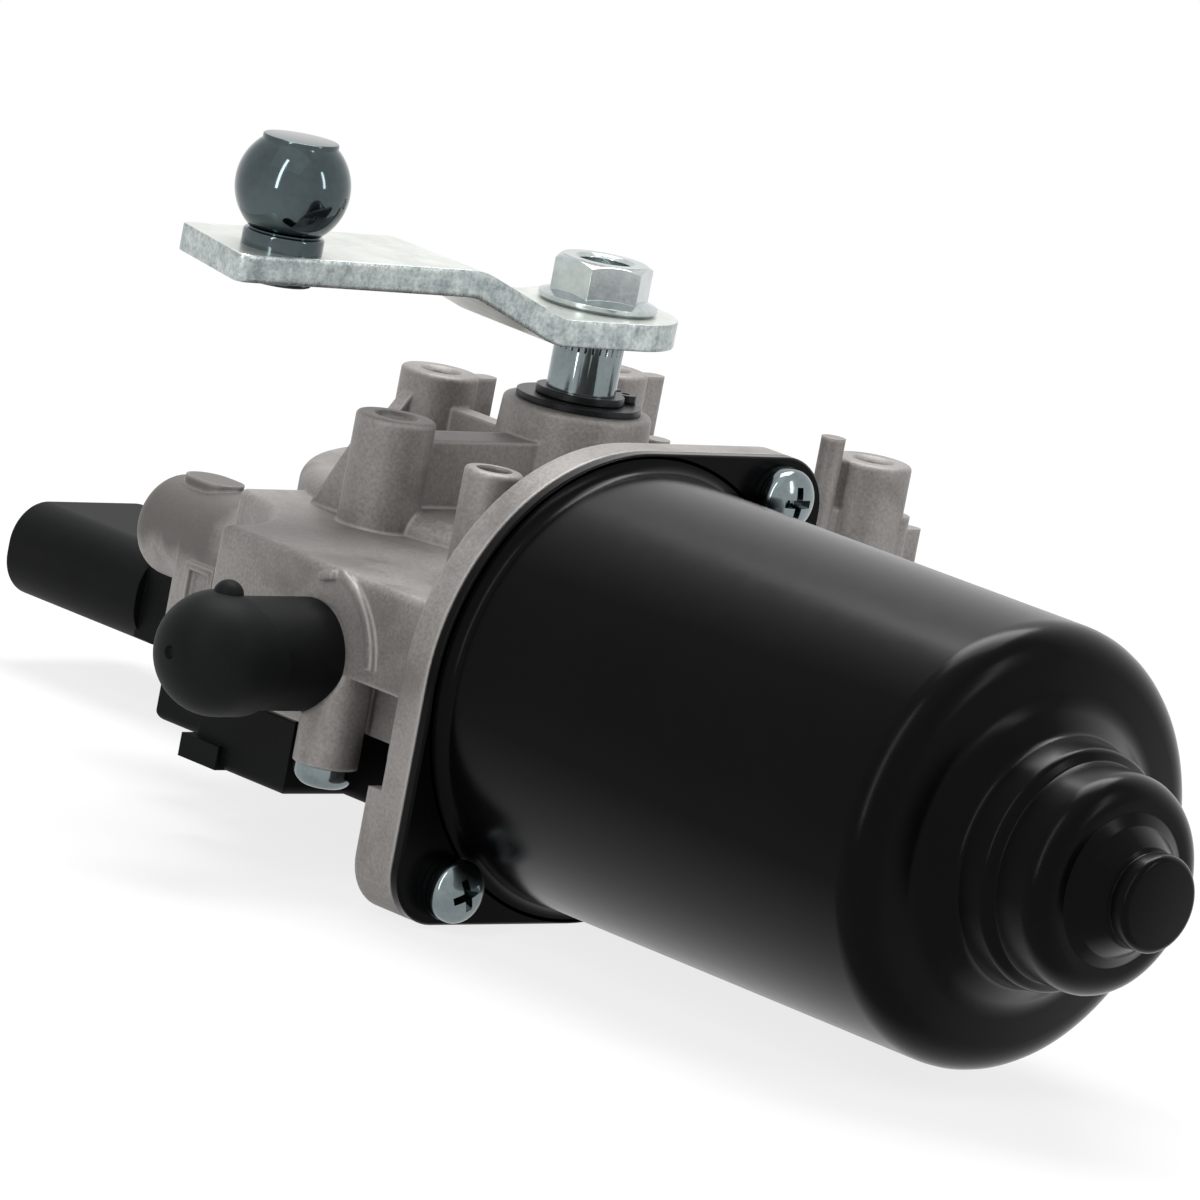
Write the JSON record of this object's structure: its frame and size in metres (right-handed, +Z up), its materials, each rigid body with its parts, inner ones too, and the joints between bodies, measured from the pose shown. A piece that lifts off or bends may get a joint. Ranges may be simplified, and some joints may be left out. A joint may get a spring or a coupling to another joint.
{
  "type": "wiper motor",
  "caption": "Windscreen wiper motor: a permanent-magnet motor in a pressed can on a die-cast worm gear housing, with a cranked arm and ball stud on its output shaft.",
  "frame": {"origin": "on the output shaft's axis, at the top face of the gear housing's output boss", "axes": "+Z up the output shaft, +X along the motor towards the nose of its can, +Y away from the motor's axis, towards the rear mounting boss"},
  "size_m": [0.2556, 0.1446, 0.0995],
  "materials": {
    "die_cast": "satin as-cast",
    "black_enamel": "gloss",
    "bright_zinc": "bright zinc plate",
    "ground_steel": "ground",
    "spring_steel": "black oxide",
    "laminated_steel": "punched",
    "sintered_bronze": "oiled",
    "copper": "drawn",
    "winding_enamel": "enamelled",
    "contact_brass": "rolled",
    "tinned_copper": "tinned",
    "ferrite": "sintered",
    "carbon": "sintered",
    "acetal": "moulded",
    "black_nylon": "moulded",
    "phenolic": "pressed sheet",
    "black_rubber": "moulded",
    "sealing_rubber": "moulded"
  },
  "bodies": {
    "housing": {"gear_housing": "die_cast", "motor_can": "black_enamel", "can_screws": "bright_zinc", "lock_washers": "bright_zinc", "output_bush": "sintered_bronze", "shaft_seal": "sealing_rubber", "thrust_washer": "spring_steel", "worm_end_bush": "sintered_bronze", "thrust_pad": "acetal", "front_bush": "sintered_bronze", "field_magnets": "ferrite", "magnet_clips": "spring_steel", "rear_bush": "sintered_bronze", "rear_holder": "ground_steel", "rear_spring_plate": "spring_steel", "nose_pad": "acetal", "brush_card": "phenolic", "brush_holders": "contact_brass", "brushes": "carbon", "brush_springs": "ground_steel", "chokes": "winding_enamel", "gear_cover": "black_nylon", "cover_gasket": "sealing_rubber", "contact_carrier": "black_nylon", "park_contacts": "contact_brass", "lead_strips": "tinned_copper", "connector_shroud": "black_nylon", "connector_terminals": "tinned_copper", "ground_screw": "bright_zinc", "vent_tube": "black_rubber", "vent_cap": "black_rubber"},
    "armature": {"worm_shaft": "ground_steel", "armature_core": "laminated_steel", "armature_windings": "winding_enamel", "commutator": "copper"},
    "output": {"output_shaft": "bright_zinc", "worm_wheel": "acetal", "wheel_washer": "spring_steel", "contact_disc": "contact_brass", "retaining_ring": "spring_steel", "crank_arm": "bright_zinc", "ball_stud": "bright_zinc", "crank_nut": "bright_zinc"}
  },
  "joints": [
    {"name": "armature_spin", "type": "hinge", "parent": "housing", "child": "armature", "pos_m": [0, -0.035, -0.0286], "axis": [1, 0, 0], "continuous": true},
    {"name": "output_spin", "type": "hinge", "parent": "housing", "child": "output", "pos_m": [0, 0, 0], "axis": [0, 0, 1], "continuous": true}
  ],
  "couplings": [
    {"joint": "output_spin", "follows": "armature_spin", "ratio": -0.020833}
  ]
}
